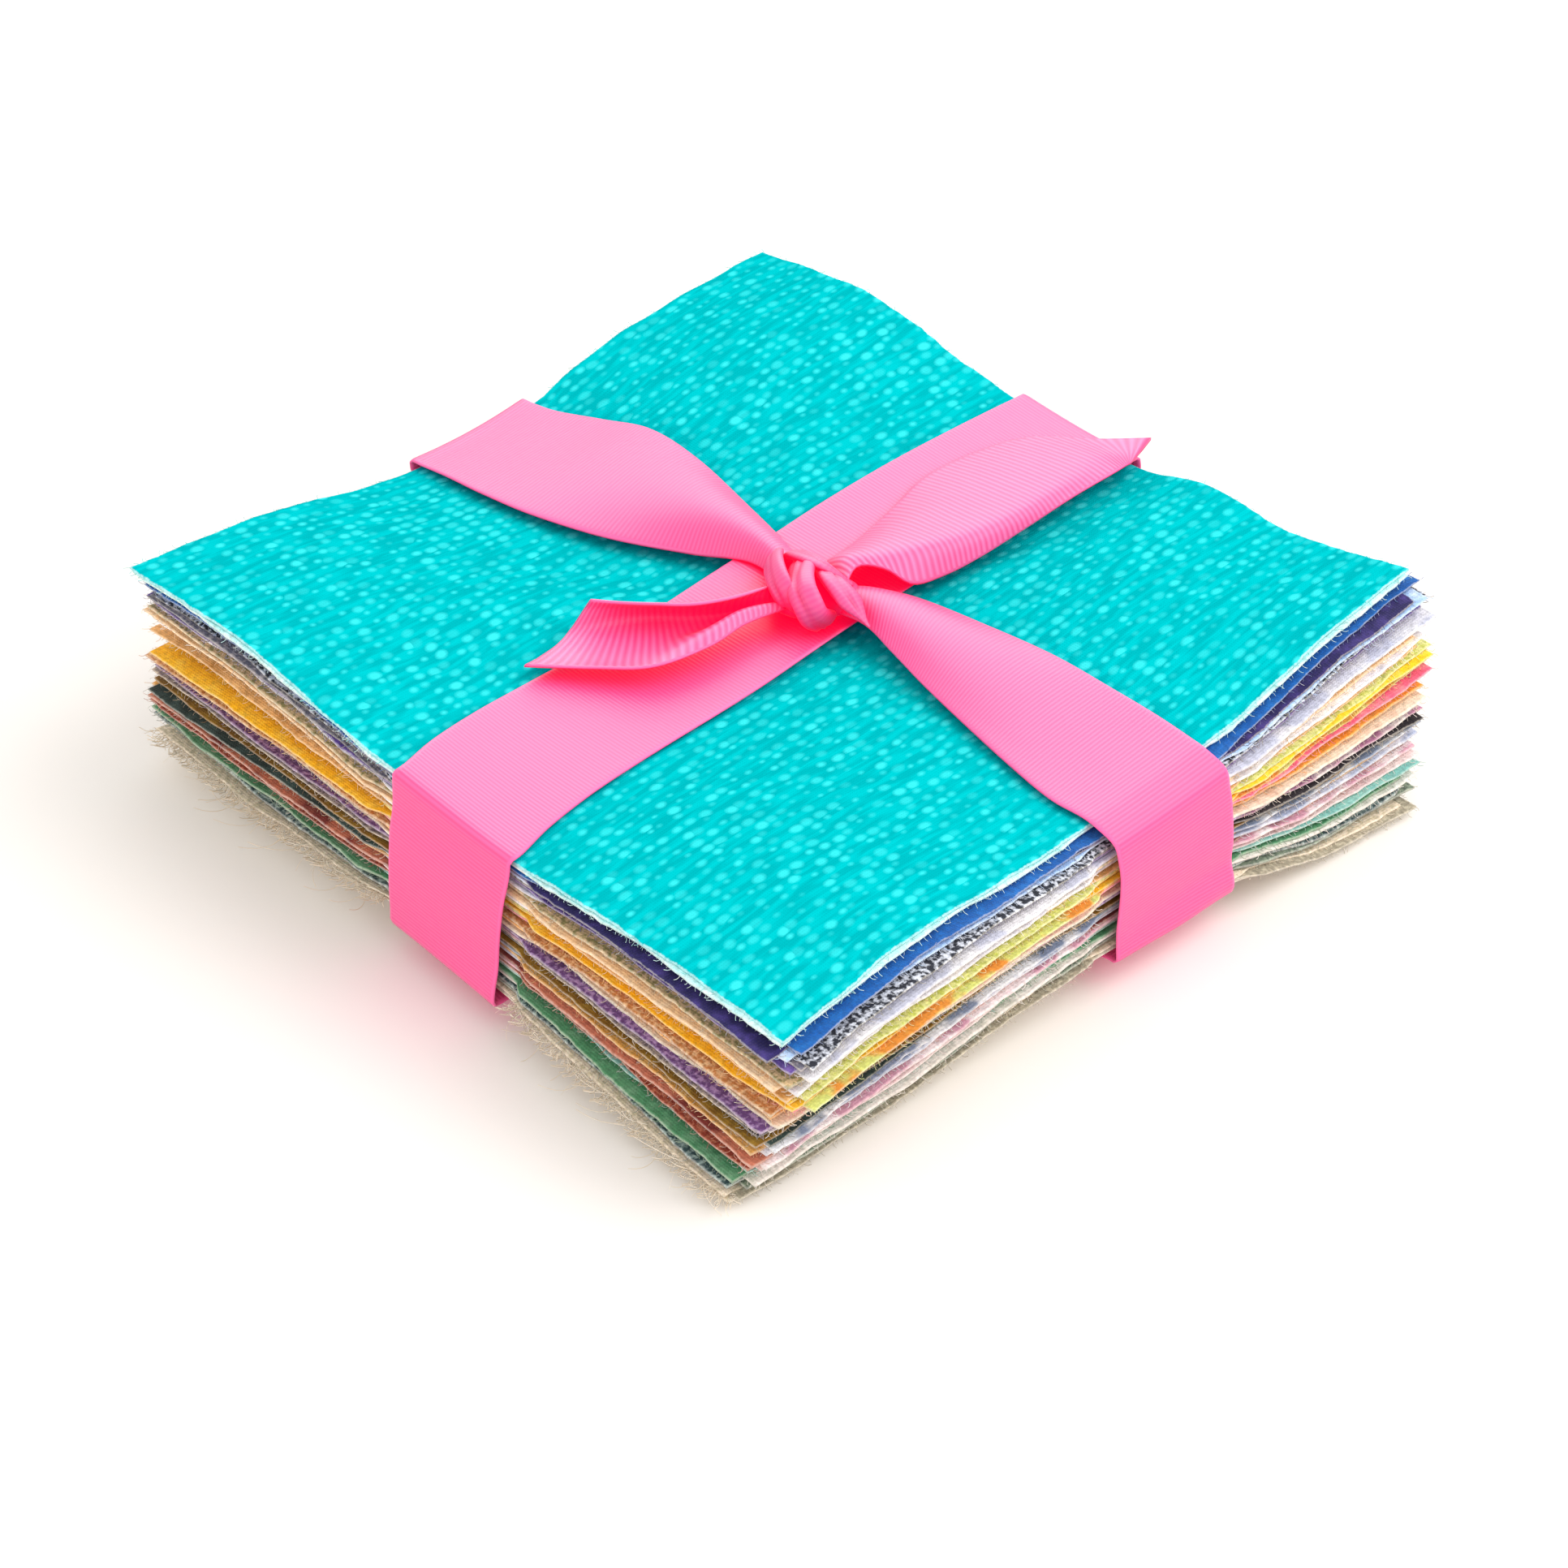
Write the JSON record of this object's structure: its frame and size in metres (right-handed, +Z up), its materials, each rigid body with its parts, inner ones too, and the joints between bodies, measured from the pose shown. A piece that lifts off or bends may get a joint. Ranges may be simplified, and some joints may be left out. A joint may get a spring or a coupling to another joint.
{
  "type": "charm pack",
  "caption": "Small square pile of loose cut cotton pieces in many colours, tied both ways with a pink ribbon knotted on top; a decorative or sewing-room stack that rests on a table.",
  "frame": {"origin": "on the surface, under the middle of the pile's top square, on the flat underside of the ribbon", "axes": "+Z up; X and Y along the top square's edges; the pile's front corner is at +X -Y, and the ribbon band with both free tails runs along Y"},
  "size_m": [0.138, 0.138, 0.0386],
  "materials": {
    "grosgrain": "pink ribbed grosgrain ribbon, soft sheen",
    "cotton_01": "printed quilting cotton with raw cut edges, matt",
    "cotton_02": "printed quilting cotton with raw cut edges, matt",
    "cotton_03": "printed quilting cotton with raw cut edges, matt",
    "cotton_04": "printed quilting cotton with raw cut edges, matt",
    "cotton_05": "printed quilting cotton with raw cut edges, matt",
    "cotton_06": "printed quilting cotton with raw cut edges, matt",
    "cotton_07": "printed quilting cotton with raw cut edges, matt",
    "cotton_08": "printed quilting cotton with raw cut edges, matt",
    "cotton_09": "printed quilting cotton with raw cut edges, matt",
    "cotton_10": "printed quilting cotton with raw cut edges, matt",
    "cotton_11": "printed quilting cotton with raw cut edges, matt",
    "cotton_12": "printed quilting cotton with raw cut edges, matt",
    "cotton_13": "printed quilting cotton with raw cut edges, matt",
    "cotton_14": "printed quilting cotton with raw cut edges, matt",
    "cotton_15": "printed quilting cotton with raw cut edges, matt",
    "cotton_16": "printed quilting cotton with raw cut edges, matt",
    "cotton_17": "printed quilting cotton with raw cut edges, matt"
  },
  "bodies": {
    "root": {"ribbon": "grosgrain", "square_01": "cotton_01", "square_02": "cotton_02", "square_03": "cotton_03", "square_04": "cotton_04", "square_05": "cotton_05", "square_06": "cotton_06", "square_07": "cotton_07", "square_08": "cotton_08", "square_09": "cotton_09", "square_10": "cotton_10", "square_11": "cotton_11", "square_12": "cotton_12", "square_13": "cotton_13", "square_14": "cotton_14", "square_15": "cotton_15", "square_16": "cotton_16", "square_17": "cotton_17"}
  },
  "joints": []
}
